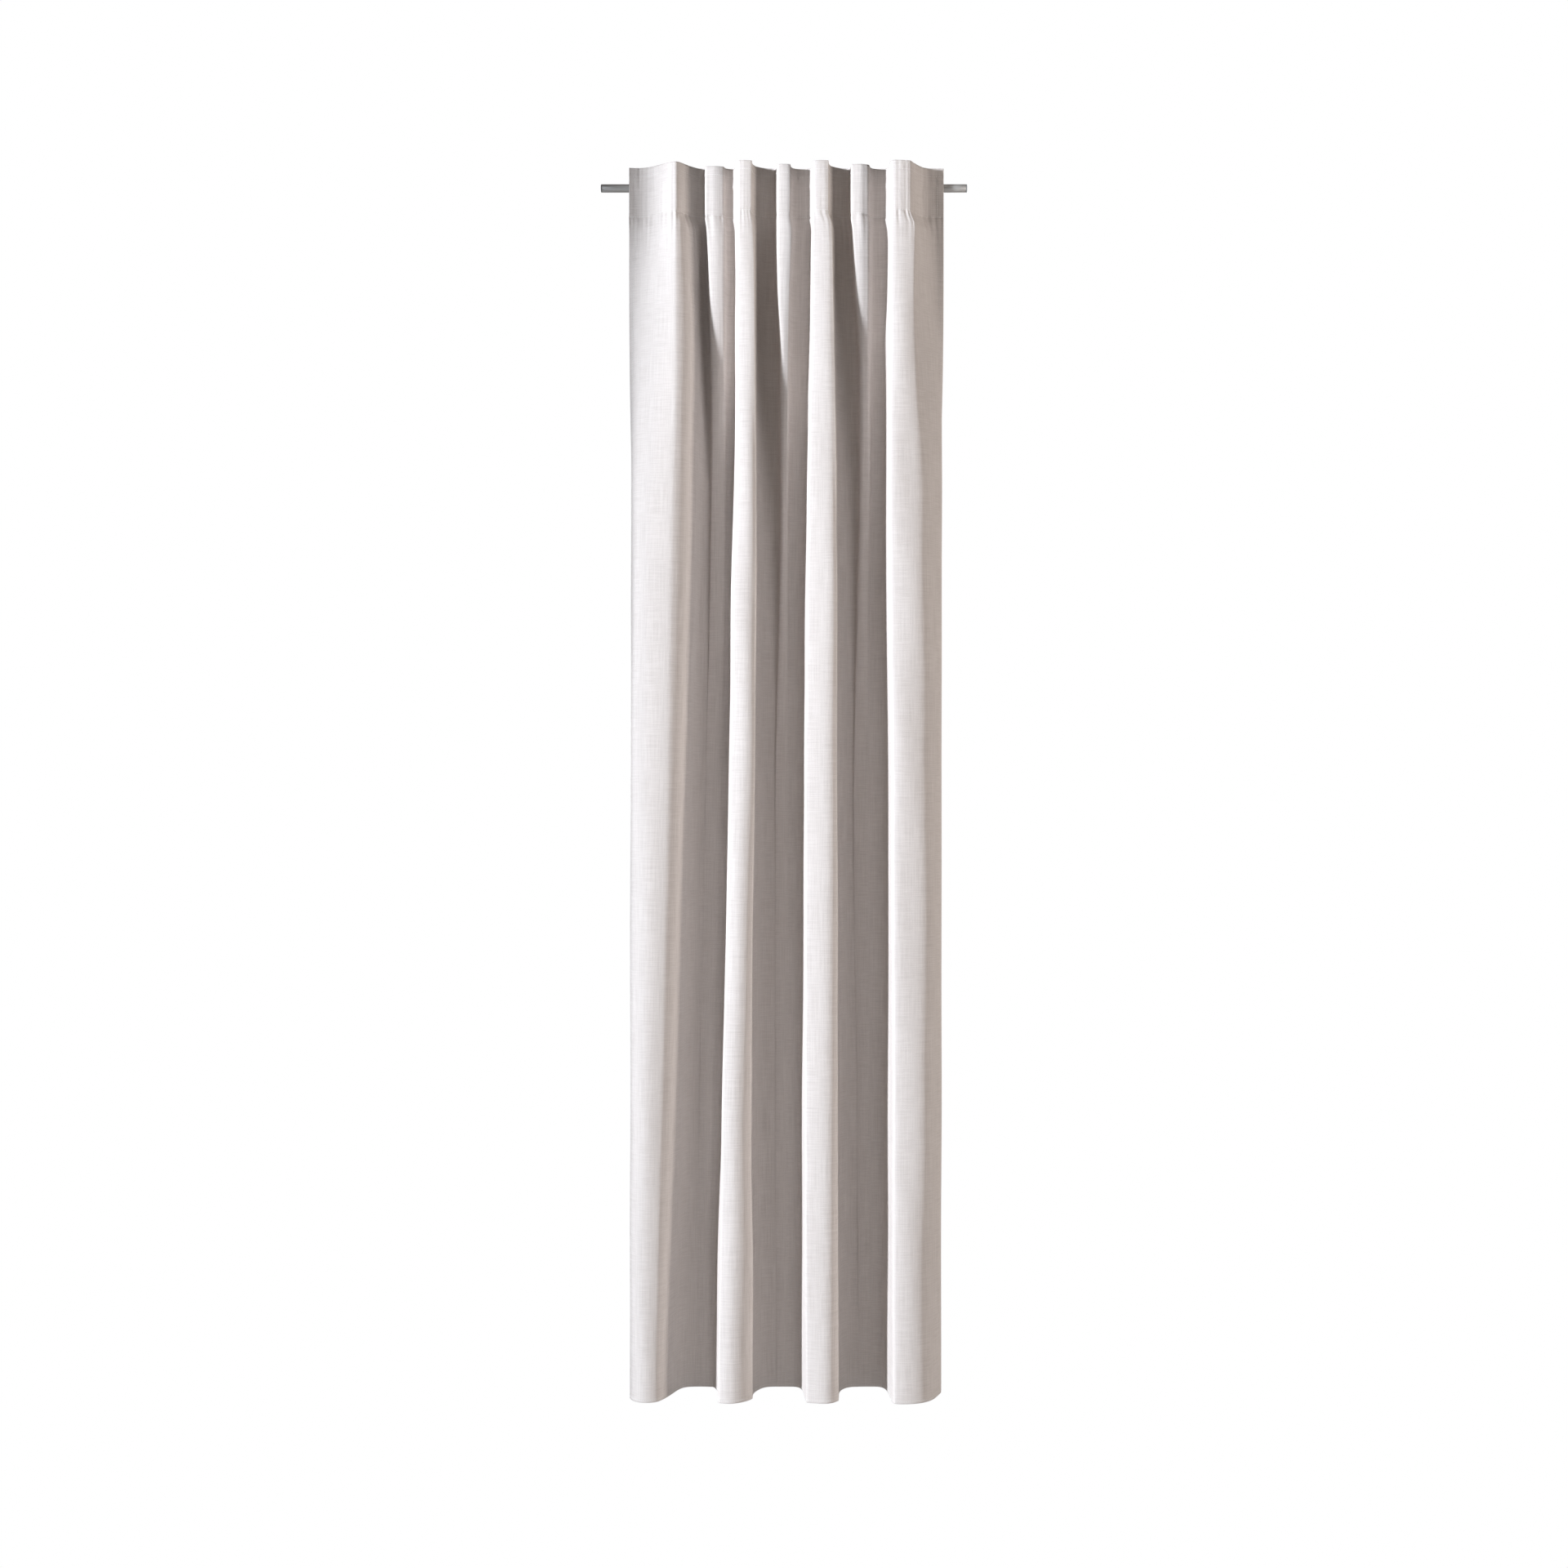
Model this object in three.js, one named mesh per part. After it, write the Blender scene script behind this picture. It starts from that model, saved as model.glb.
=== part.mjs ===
// A ready-made curtain panel hung by hidden tabs on a plain steel rod.
// Millimetres, +Z up. The origin is the middle of the rod's axis: +X runs along the
// rod, -Y faces the room and the cloth hangs down.

import * as THREE from 'three';

// ------------------------------------------------------------ driving dimensions

// Rod
const ROD_LENGTH = 731;
const ROD_RADIUS = 8;
const ROD_WALL = 1;
const PLUG_CAP = 2;
const PLUG_SPIGOT = 14;
const PLUG_EDGE = 0.5;
const ROD_SIDES = 24;

// Clearance kept between pieces that touch on the real object
const GAP = 0.3;

// Cloth
const TOP_EDGE = 36;
const BOTTOM_EDGE = -2414;
const CLOTH = 1;

// Heading: the tape behind the top of the cloth, and the tabs sewn to it
const TAPE_TOP = 20;
const TAPE_BOTTOM = -63;
const TAPE = 0.8;
const TAB_COUNT = 8;
const TAB_WIDTH = 30;
const TAB_THICKNESS = 1;
const TAB_EDGE_MARGIN = 42;
const TAB_ARC_STEPS = 9;
const TAB_SEWN_TOP = [18, 12.5];
const TAB_SEWN_FOOT = [-52, -61];
const BAR_TACK = { width: 22, height: 2.4, thickness: 0.8 };

// Hems and their seams
const SIDE_HEM = 16;
const SIDE_SEAM = [12, 14];
const TOP_HEM_DEPTH = 15;
const BOTTOM_HEM_DEPTH = 5;
const SEAM_HEIGHT = 1.6;
const SEAM_INSET = 2;
const THREAD = 0.6;

// Where each tab stands on the rod
const TAB_X = [-282, -176, -113, -38, 38, 113, 194, 290];

// The pleats between the tabs: where each crest stands and how far it comes forward. The
// walls, half way up, stand this far to the left and right of the crest.
const PLEATS = [
  { x: -216, depth: 51 },
  { x: -143, depth: 14 },
  { x: -79, depth: 56 },
  { x: 0, depth: 27 },
  { x: 74, depth: 56 },
  { x: 149, depth: 24 },
  { x: 230, depth: 59 },
];
const PLEAT_LEFT_WALL = 16;
const PLEAT_RIGHT_WALL = 21;
const HEADING_EDGE_X = [-308, 318];
const HEADING_EDGE_FORWARD = 6;

// Lower down every second pleat sinks into the hollow beside it and four folds are left:
// the middle and half width of each, and how far forward the folds and how far back the
// hollows between them reach, where the pleats have died away and at the hem
const FOLDS = [
  { upper: { x: -250, half: 57 }, hem: { x: -262, half: 45 } },
  { upper: { x: -82, half: 24 }, hem: { x: -95, half: 37 } },
  { upper: { x: 72, half: 29 }, hem: { x: 77, half: 36 } },
  { upper: { x: 262, half: 57 }, hem: { x: 264, half: 55 } },
];
const FOLD_FRONT = { upper: -57, hem: -48 };
const HOLLOW_BACK = { upper: [58, 52, 54], hem: [72, 66, 68] };
const FOLD_CORNER = { width: 0.94, behindFront: 9 };
const FOLD_WALL_BEHIND_FRONT = 55;
const EDGE_BEHIND_FRONT = 98;
const HOLLOW_CORNER = { out: 8, beforeBack: 9 };
const FOLDS_BEGIN = -63;
const FOLDS_FORMED = -640;

// Heights at which the cloth's shape is worked out
const LEVELS = [
  TOP_EDGE, -20, TAPE_BOTTOM, -130, -220, -330, -460, FOLDS_FORMED,
  -900, -1250, -1650, -2050, BOTTOM_EDGE,
];
const STEPS_PER_POINT = 2;

// ------------------------------------------------------------ materials

const cloth = new THREE.MeshStandardMaterial({ color: 0xe9e1d8, roughness: 0.95, metalness: 0 });
const webbing = new THREE.MeshStandardMaterial({ color: 0xf1ece4, roughness: 0.9, metalness: 0 });
const thread = new THREE.MeshStandardMaterial({ color: 0xf6f1e9, roughness: 0.8, metalness: 0 });
const steel = new THREE.MeshStandardMaterial({ color: 0x9a9893, roughness: 0.35, metalness: 1 });
const plastic = new THREE.MeshStandardMaterial({ color: 0x8c8b88, roughness: 0.5, metalness: 0 });

function addMesh(parent, name, geometry, material) {
  const mesh = new THREE.Mesh(geometry, material.clone());
  mesh.name = name;
  parent.add(mesh);
  return mesh;
}

// ------------------------------------------------------------ rod

function makeRod() {
  const rod = new THREE.Group();
  const tubeLength = ROD_LENGTH - 2 * (PLUG_CAP + GAP);
  const ring = new THREE.Shape().absarc(0, 0, ROD_RADIUS, 0, 2 * Math.PI);
  ring.holes.push(new THREE.Path().absarc(0, 0, ROD_RADIUS - ROD_WALL, 0, 2 * Math.PI, true));
  const tube = new THREE.ExtrudeGeometry(ring, {
    depth: tubeLength,
    bevelEnabled: false,
    curveSegments: ROD_SIDES,
  });
  tube.translate(0, 0, -tubeLength / 2);
  tube.rotateY(Math.PI / 2);
  addMesh(rod, 'rod_tube', tube, steel);

  const spigotRadius = ROD_RADIUS - ROD_WALL - GAP;
  const half = ROD_LENGTH / 2;
  const profile = [
    new THREE.Vector2(0, half - PLUG_CAP - PLUG_SPIGOT),
    new THREE.Vector2(spigotRadius, half - PLUG_CAP - PLUG_SPIGOT),
    new THREE.Vector2(spigotRadius, half - PLUG_CAP),
    new THREE.Vector2(ROD_RADIUS, half - PLUG_CAP),
    new THREE.Vector2(ROD_RADIUS, half - PLUG_EDGE),
    new THREE.Vector2(ROD_RADIUS - PLUG_EDGE, half),
    new THREE.Vector2(0, half),
  ];
  for (const [name, turn] of [['rod_plug_right', -Math.PI / 2], ['rod_plug_left', Math.PI / 2]]) {
    const plug = new THREE.LatheGeometry(profile, ROD_SIDES);
    plug.rotateZ(turn);
    addMesh(rod, name, plug, plastic);
  }
  return rod;
}

// ------------------------------------------------------------ cloth surface

// The cloth's mid surface passes through control points a quarter of a pleat apart:
// the left edge, then tab, wall, crest, wall, tab ... and the right edge.
const PLEAT_COUNT = TAB_COUNT - 1;
const LAST_TAB_INDEX = 1 + 4 * PLEAT_COUNT;
const CLOTH_Y = -(ROD_RADIUS + GAP + TAPE + GAP + CLOTH / 2);

function mix(a, b, share) {
  return a + (b - a) * share;
}

function headingPoints() {
  const points = [[HEADING_EDGE_X[0], CLOTH_Y - HEADING_EDGE_FORWARD]];
  PLEATS.forEach((pleat, n) => {
    points.push(
      [TAB_X[n], CLOTH_Y],
      [pleat.x - PLEAT_LEFT_WALL, CLOTH_Y - pleat.depth / 2],
      [pleat.x, CLOTH_Y - pleat.depth],
      [pleat.x + PLEAT_RIGHT_WALL, CLOTH_Y - pleat.depth / 2],
    );
  });
  points.push([TAB_X[TAB_COUNT - 1], CLOTH_Y]);
  points.push([HEADING_EDGE_X[1], CLOTH_Y - HEADING_EDGE_FORWARD]);
  return points;
}

// The four folds at a height. Each has a crest, two corners and two walls; the hollow
// after it has a foot on either side and its middle; the panel's edges turn back.
function foldPoints(z) {
  const down = THREE.MathUtils.clamp((z - FOLDS_FORMED) / (BOTTOM_EDGE - FOLDS_FORMED), 0, 1);
  const front = mix(FOLD_FRONT.upper, FOLD_FRONT.hem, down);
  const folds = FOLDS.map(({ upper, hem }) => {
    const x = mix(upper.x, hem.x, down);
    const half = mix(upper.half, hem.half, down);
    return { x, left: x - FOLD_CORNER.width * half, right: x + FOLD_CORNER.width * half };
  });
  const points = [[folds[0].left, front + EDGE_BEHIND_FRONT]];
  folds.forEach(({ x, left, right }, n) => {
    points.push(
      [left, front + FOLD_WALL_BEHIND_FRONT],
      [left, front + FOLD_CORNER.behindFront],
      [x, front],
      [right, front + FOLD_CORNER.behindFront],
      [right, front + FOLD_WALL_BEHIND_FRONT],
    );
    if (n === folds.length - 1) {
      points.push([right, front + EDGE_BEHIND_FRONT]);
      return;
    }
    const back = mix(HOLLOW_BACK.upper[n], HOLLOW_BACK.hem[n], down);
    const feet = [right + HOLLOW_CORNER.out, folds[n + 1].left - HOLLOW_CORNER.out];
    points.push(
      [feet[0], back - HOLLOW_CORNER.beforeBack],
      [(feet[0] + feet[1]) / 2, back],
      [feet[1], back - HOLLOW_CORNER.beforeBack],
    );
  });
  return points;
}

function sectionCurve(z) {
  const share = THREE.MathUtils.smoothstep(-z, -FOLDS_BEGIN, -FOLDS_FORMED);
  const top = headingPoints();
  const low = foldPoints(z);
  const points = top.map(([x, y], n) => (
    new THREE.Vector3(mix(x, low[n][0], share), mix(y, low[n][1], share), z)
  ));
  return new THREE.CatmullRomCurve3(points, false, 'centripetal');
}

// Columns are counted in control points from the left edge; a hem or seam that
// runs down an edge gets columns of its own.
function columnAtEdge(distance, fromLeft) {
  const share = distance / TAB_EDGE_MARGIN;
  return fromLeft ? share : LAST_TAB_INDEX + 1 - share;
}

const EDGE_DISTANCES = [0, ...SIDE_SEAM, SIDE_HEM];
const COLUMNS = [
  ...EDGE_DISTANCES.map((distance) => columnAtEdge(distance, true)),
  ...Array.from(
    { length: (LAST_TAB_INDEX - 1) * STEPS_PER_POINT + 1 },
    (_, n) => 1 + n / STEPS_PER_POINT,
  ),
  ...EDGE_DISTANCES.map((distance) => columnAtEdge(distance, false)).reverse(),
];

const LEVEL_POINTS = LEVELS.map((z) => {
  const curve = sectionCurve(z);
  return COLUMNS.map((column) => curve.getPoint(column / (LAST_TAB_INDEX + 1)));
});

const LEVEL_NORMALS = LEVEL_POINTS.map((row, r) => row.map((point, c) => {
  const across = new THREE.Vector3().subVectors(
    row[Math.min(c + 1, row.length - 1)],
    row[Math.max(c - 1, 0)],
  );
  const up = new THREE.Vector3().subVectors(
    LEVEL_POINTS[Math.max(r - 1, 0)][c],
    LEVEL_POINTS[Math.min(r + 1, LEVELS.length - 1)][c],
  );
  return across.cross(up).normalize();
}));

// A point in front of the cloth's mid surface, on one column at any height.
function clothPoint(c, z, forward) {
  const below = LEVELS.findIndex((level, n) => n > 0 && z >= level);
  const share = (LEVELS[below - 1] - z) / (LEVELS[below - 1] - LEVELS[below]);
  const point = LEVEL_POINTS[below - 1][c].clone().lerp(LEVEL_POINTS[below][c], share);
  const normal = LEVEL_NORMALS[below - 1][c].clone().lerp(LEVEL_NORMALS[below][c], share);
  return point.addScaledVector(normal.normalize(), forward);
}

// A layer that follows the cloth from one column to another and between two heights,
// from `back` to `front` measured forward of the cloth's mid surface.
function layerGeometry({ columns = [0, COLUMNS.length - 1], top, bottom, back, front }) {
  const [first, last] = columns;
  const width = last - first + 1;
  const heights = [top, ...LEVELS.filter((z) => z < top && z > bottom), bottom];
  const positions = [];
  for (const forward of [front, back]) {
    for (const z of heights) {
      for (let c = first; c <= last; c += 1) {
        positions.push(...clothPoint(c, z, forward).toArray());
      }
    }
  }
  const backStart = heights.length * width;
  const index = [];
  const quad = (a, b, c, d) => index.push(a, b, c, a, c, d);
  for (let r = 0; r < heights.length - 1; r += 1) {
    for (let c = 0; c < width - 1; c += 1) {
      const a = r * width + c;
      const d = a + width;
      quad(a, d, d + 1, a + 1);
      index.push(a + backStart, a + 1 + backStart, d + 1 + backStart);
      index.push(a + backStart, d + 1 + backStart, d + backStart);
    }
    const left = r * width;
    const right = left + width - 1;
    quad(left, left + backStart, left + width + backStart, left + width);
    quad(right, right + width, right + width + backStart, right + backStart);
  }
  for (let c = 0; c < width - 1; c += 1) {
    const foot = (heights.length - 1) * width + c;
    quad(c, c + 1, c + 1 + backStart, c + backStart);
    quad(foot, foot + backStart, foot + 1 + backStart, foot + 1);
  }
  const geometry = new THREE.BufferGeometry();
  geometry.setAttribute('position', new THREE.Float32BufferAttribute(positions, 3));
  geometry.setIndex(index);
  geometry.computeVertexNormals();
  return geometry;
}

// ------------------------------------------------------------ panel

const BEHIND = { front: -CLOTH / 2 - GAP, back: -CLOTH / 2 - GAP - TAPE };
const BEFORE = { back: CLOTH / 2 + GAP, front: CLOTH / 2 + GAP + THREAD };

function makePanel() {
  const panel = new THREE.Group();
  const add = (name, material, layer) => addMesh(panel, name, layerGeometry(layer), material);
  const lastColumn = COLUMNS.length - 1;
  const hemColumns = EDGE_DISTANCES.length - 1;
  const topHemFoot = TOP_EDGE - TOP_HEM_DEPTH;
  const bottomHemTop = BOTTOM_EDGE + BOTTOM_HEM_DEPTH;

  add('curtain_fabric', cloth, {
    top: TOP_EDGE, bottom: BOTTOM_EDGE, back: -CLOTH / 2, front: CLOTH / 2,
  });
  add('top_hem', cloth, { ...BEHIND, top: TOP_EDGE, bottom: topHemFoot });
  add('bottom_hem', cloth, { ...BEHIND, top: bottomHemTop, bottom: BOTTOM_EDGE });
  add('heading_tape', webbing, {
    ...BEHIND,
    columns: [hemColumns + 1, lastColumn - hemColumns - 1],
    top: TAPE_TOP,
    bottom: TAPE_BOTTOM,
  });

  const seamBand = (middle) => ({ top: middle + SEAM_HEIGHT / 2, bottom: middle - SEAM_HEIGHT / 2 });
  add('heading_seam_upper', thread, { ...BEFORE, ...seamBand(topHemFoot - SEAM_INSET) });
  add('heading_seam_lower', thread, { ...BEFORE, ...seamBand(TAPE_BOTTOM + SEAM_INSET) });
  add('bottom_seam', thread, { ...BEFORE, ...seamBand(bottomHemTop - SEAM_INSET) });

  const sides = [['left', (c) => c], ['right', (c) => lastColumn - c]];
  for (const [side, column] of sides) {
    const between = (a, b) => [column(a), column(b)].sort((m, n) => m - n);
    add(`side_hem_${side}`, cloth, {
      ...BEHIND,
      columns: between(0, hemColumns),
      top: topHemFoot - GAP,
      bottom: bottomHemTop + GAP,
    });
    add(`side_seam_${side}`, thread, {
      ...BEFORE,
      columns: between(1, 2),
      top: TAPE_BOTTOM - SEAM_HEIGHT,
      bottom: bottomHemTop + SEAM_HEIGHT,
    });
  }
  return panel;
}

// ------------------------------------------------------------ tabs

// The angle at which a straight run from a sewn end comes onto the rod; `turn` is the
// side that it comes on from.
function tangentAngle([y, z], radius, turn) {
  return Math.atan2(z, y) + turn * Math.acos(radius / Math.hypot(y, z));
}

// A tab seen along the rod: sewn to the tape above the rod, over the rod's back, and
// down to the tape's foot.
function tabShape() {
  const sewnY = -ROD_RADIUS + TAB_THICKNESS / 2;
  const radius = ROD_RADIUS + GAP + TAB_THICKNESS / 2;
  const upper = [sewnY, TAB_SEWN_TOP[1]];
  const lower = [sewnY, TAB_SEWN_FOOT[0]];
  const from = tangentAngle(upper, radius, -1);
  const to = tangentAngle(lower, radius, 1);
  const path = [[sewnY, TAB_SEWN_TOP[0]], upper];
  for (let n = 0; n <= TAB_ARC_STEPS; n += 1) {
    const angle = mix(from, to, n / TAB_ARC_STEPS);
    path.push([radius * Math.cos(angle), radius * Math.sin(angle)]);
  }
  path.push(lower, [sewnY, TAB_SEWN_FOOT[1]]);

  const sides = path.map(([y, z], n) => {
    const [y0, z0] = path[Math.max(n - 1, 0)];
    const [y1, z1] = path[Math.min(n + 1, path.length - 1)];
    const length = Math.hypot(y1 - y0, z1 - z0);
    const across = new THREE.Vector2(-(z1 - z0), y1 - y0).multiplyScalar(TAB_THICKNESS / 2 / length);
    const middle = new THREE.Vector2(y, z);
    return [middle.clone().add(across), middle.clone().sub(across)];
  });
  return new THREE.Shape([
    ...sides.map(([outer]) => outer),
    ...sides.map(([, inner]) => inner).reverse(),
  ]);
}

function makeTabs() {
  const tabs = new THREE.Group();
  const alongRod = new THREE.Matrix4().makeBasis(
    new THREE.Vector3(0, 1, 0),
    new THREE.Vector3(0, 0, 1),
    new THREE.Vector3(1, 0, 0),
  );
  const shape = tabShape();
  const tackY = -ROD_RADIUS + TAB_THICKNESS + GAP + BAR_TACK.thickness / 2;
  TAB_X.forEach((x, n) => {
    const tab = new THREE.Group();
    tab.position.x = x;
    const strap = new THREE.ExtrudeGeometry(shape, { depth: TAB_WIDTH, bevelEnabled: false });
    strap.translate(0, 0, -TAB_WIDTH / 2);
    strap.applyMatrix4(alongRod);
    addMesh(tab, `tab_strap_${n + 1}`, strap, webbing);
    for (const [end, [a, b]] of [['upper', TAB_SEWN_TOP], ['lower', TAB_SEWN_FOOT]]) {
      const tack = new THREE.BoxGeometry(BAR_TACK.width, BAR_TACK.thickness, BAR_TACK.height);
      const mesh = addMesh(tab, `bar_tack_${end}_${n + 1}`, tack, thread);
      mesh.position.set(0, tackY, (a + b) / 2);
    }
    tabs.add(tab);
  });
  return tabs;
}

// ------------------------------------------------------------ the whole part

const curtain = new THREE.Group();
curtain.add(makeRod(), makePanel(), makeTabs());

export default curtain;
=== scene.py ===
"""A linen-look curtain panel with hidden tabs, hanging on a satin steel rod.

The cloth is lofted along guide lines that run down its folds. Hems, heading tape and
rows of stitches are laid on the same surface, so they follow every fold.
Lengths that describe the cloth are in millimetres, and everything built is in metres.
"""

import math

import bpy
import numpy as np
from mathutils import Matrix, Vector


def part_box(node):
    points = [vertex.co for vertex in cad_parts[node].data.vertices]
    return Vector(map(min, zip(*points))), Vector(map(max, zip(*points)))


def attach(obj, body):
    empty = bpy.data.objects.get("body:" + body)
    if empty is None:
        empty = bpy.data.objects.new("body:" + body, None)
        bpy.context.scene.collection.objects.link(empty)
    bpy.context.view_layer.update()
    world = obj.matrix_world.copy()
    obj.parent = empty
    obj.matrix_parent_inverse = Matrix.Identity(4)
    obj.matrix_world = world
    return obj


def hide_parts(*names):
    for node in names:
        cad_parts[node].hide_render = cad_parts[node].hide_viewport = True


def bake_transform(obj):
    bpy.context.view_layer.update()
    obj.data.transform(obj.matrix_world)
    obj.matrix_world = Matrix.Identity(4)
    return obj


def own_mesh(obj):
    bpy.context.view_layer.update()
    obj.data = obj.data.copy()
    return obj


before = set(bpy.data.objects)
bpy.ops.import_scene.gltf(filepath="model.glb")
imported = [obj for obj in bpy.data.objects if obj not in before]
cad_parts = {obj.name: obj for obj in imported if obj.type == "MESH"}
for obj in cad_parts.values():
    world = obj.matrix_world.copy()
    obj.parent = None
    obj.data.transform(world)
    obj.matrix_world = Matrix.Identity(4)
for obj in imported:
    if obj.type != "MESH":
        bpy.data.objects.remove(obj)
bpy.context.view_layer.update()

MM = 0.001

# ---------------------------------------------------------------- camera

CAMERA_AWAY = 4.0
CAMERA_HEIGHT = -1.190
CAMERA_LENS = 45.96


def make_camera():
    camera = bpy.data.objects.new("camera", bpy.data.cameras.new("camera"))
    camera.data.lens = CAMERA_LENS
    camera.data.sensor_width = 36
    camera.location = (0, -CAMERA_AWAY, CAMERA_HEIGHT)
    camera.rotation_euler = (math.radians(90), 0, 0)
    bpy.context.scene.collection.objects.link(camera)
    bpy.context.scene.camera = camera


make_camera()

# ---------------------------------------------------------------- sizes

# From the frame
FABRIC_LOW, FABRIC_HIGH = (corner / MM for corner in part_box("curtain_fabric"))
ROD_LOW, ROD_HIGH = (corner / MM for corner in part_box("rod_tube"))
TAPE_LOW, TAPE_HIGH = (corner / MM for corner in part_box("heading_tape"))
TAB_COUNT = sum(name.startswith("tab_strap_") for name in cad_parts)
TAB_X = [sum(corner.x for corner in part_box(f"tab_strap_{n + 1}")) / 2 / MM for n in range(TAB_COUNT)]
TOP = FABRIC_HIGH.z
HEM = FABRIC_LOW.z
TAPE_TOP = TAPE_HIGH.z
SEAM = TAPE_LOW.z
ROD_RADIUS = ROD_HIGH.z

# Cloth, as it was cut
CUT_WIDTH = 1400
CUT_LENGTH = TOP - HEM
CLOTH = 0.6
TAPE = 0.8
LAYER_GAP = 0.15
SIDE_HEM = 16
TOP_HEM = 15
BOTTOM_HEM = 6

# Thread
STITCH_PITCH = 4.4
STITCH_LENGTH = 3.3
THREAD_RADIUS = 0.42

# ---------------------------------------------------------------- the folds

# Heights that the guide lines are given at: the foot of the heading, just below it, and
# on down to the hem. In the heading they run straight up.
HEIGHTS = (SEAM, -90, -200, -350, -640, -1250, -1850, HEM)

ROWS = np.concatenate([
    np.linspace(TOP, SEAM, 31),
    np.linspace(SEAM, -160, 26)[1:],
    np.linspace(-160, -640, 49)[1:],
    np.linspace(-640, HEM + BOTTOM_HEM, 71)[1:],
    np.linspace(HEM + BOTTOM_HEM, HEM, 5)[1:],
])
STEPS = 9


def down(*values):
    """A value given at HEIGHTS, smoothly down the rows and never past its neighbours."""
    keys = -np.array(HEIGHTS, float)
    values = np.array(values, float)
    gaps = np.diff(keys)
    slopes = np.diff(values) / gaps
    tangents = np.zeros(len(keys))
    for n in range(1, len(keys) - 1):
        if slopes[n - 1] * slopes[n] > 0:
            weights = (2 * gaps[n] + gaps[n - 1], gaps[n] + 2 * gaps[n - 1])
            tangents[n] = sum(weights) / (weights[0] / slopes[n - 1] + weights[1] / slopes[n])
    at = np.clip(-ROWS, keys[0], keys[-1])
    n = np.clip(np.searchsorted(keys, at) - 1, 0, len(keys) - 2)
    t = (at - keys[n]) / gaps[n]
    return (
        values[n] * (1 + 2 * t) * (1 - t) ** 2
        + tangents[n] * gaps[n] * t * (1 - t) ** 2
        + values[n + 1] * t * t * (3 - 2 * t)
        + tangents[n + 1] * gaps[n] * t * t * (t - 1)
    )


def mix(a, b, share):
    return a + (b - a) * share


# How far forward (-) the folds stand, and how far back the hollows between them lie
FRONT = down(-67, -70, -68, -65, -59, -54, -50, -48)
FLOOR = down(-10, -6, 5, 20, 44, 56, 60, 66)
# A pleat at least this far in front of the hollow keeps its full corners
PLEAT_STANDS = 20


def left_margin():
    """The left edge, which turns back lower down, and the first fold's sloping sides."""
    return [
        (down(-308, -308, -308, -307, -305, -301, -300, -299), down(-17, -16, -14, -10, 5, 30, 42, 50)),
        (down(-293, -293, -296, -299, -304, -306, -306, -306), down(-14, -17, -24, -26, -12, 8, 14, 18)),
        (down(-274, -274, -280, -288, -299, -305, -307, -308), down(-16, -24, -35, -38, -34, -20, -12, -4)),
        (down(-257, -257, -264, -272, -288, -300, -303, -303), down(-28, -35, -44, -48, -52, -44, -36, -28)),
        (down(-238, -238, -244, -250, -260, -272, -276, -281), down(-44, -48, -54, -58, -61, -58, -52, -44)),
        (down(-219, -219, -218, -217, -223, -234, -247, -255), down(-59, -61, -63, -64, -62, -53, -45, -37)),
        (down(-210, -210, -210, -209, -215, -226, -239, -248), down(-59, -63, -64, -64, -60, -50, -41, -31)),
        (down(-200, -192, -188, -186, -190, -204, -220, -236), down(-46, -50, -50, -50, -45, -34, -24, -12)),
        (down(-186, -178, -174, -172, -174, -190, -205, -222), down(-26, -28, -24, -20, -12, 6, 14, 26)),
        (down(-172, -166, -163, -162, -165, -182, -196, -206), FLOOR - 2),
    ]


def fold(left, crease, right, droop):
    """A box-like fold: a hidden left wall, a front with a crease, a crisp right edge.
    The front falls back by droop from the crease to the right edge."""
    foot = left + down(6, 6, 6, 4, 2, 0, -3, -8)
    tail = down(28, 26, 24, 22, 20, 20, 20, 22)
    return [
        (foot, FLOOR - 1),
        (left + 1, mix(FRONT, FLOOR, 0.5)),
        (left, FRONT + 10),
        (left + 3, FRONT + down(2, 3, 3, 3, 4, 5, 6, 7)),
        (crease, FRONT),
        (mix(crease, right, 0.6), FRONT + droop * 0.35),
        (right - 3, FRONT + droop * 0.8),
        (right - 0.3, FRONT + droop),
        (right, FRONT + droop + 1),
        (right + 0.3, FRONT + droop + 5),
        (right + 1, mix(FRONT + droop, FLOOR, 0.5)),
        (right + tail * 0.35, mix(FRONT, FLOOR, 0.8)),
        (right + tail, FLOOR - 3),
    ]


def pleat(left, crease, right, crest):
    """A low pleat between two folds, which sinks into the hollow below the heading."""
    standing = np.clip((FLOOR - crest) / PLEAT_STANDS, 0, 1)
    return [
        (left - 4, FLOOR),
        (left + 1, mix(crest, FLOOR, 0.8)),
        (left - 0.5, crest + 4 * standing),
        (left + 4, crest),
        (crease - 2, crest),
        (crease + 3, crest + 2 * standing),
        (right - 1, crest + (right - crease) * 0.3 * standing),
        (right + 1, mix(crest, FLOOR, 0.7)),
        (right + 5, FLOOR + down(2, 2, 2, 2, 1, 0, 0, 0)),
    ]


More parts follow.
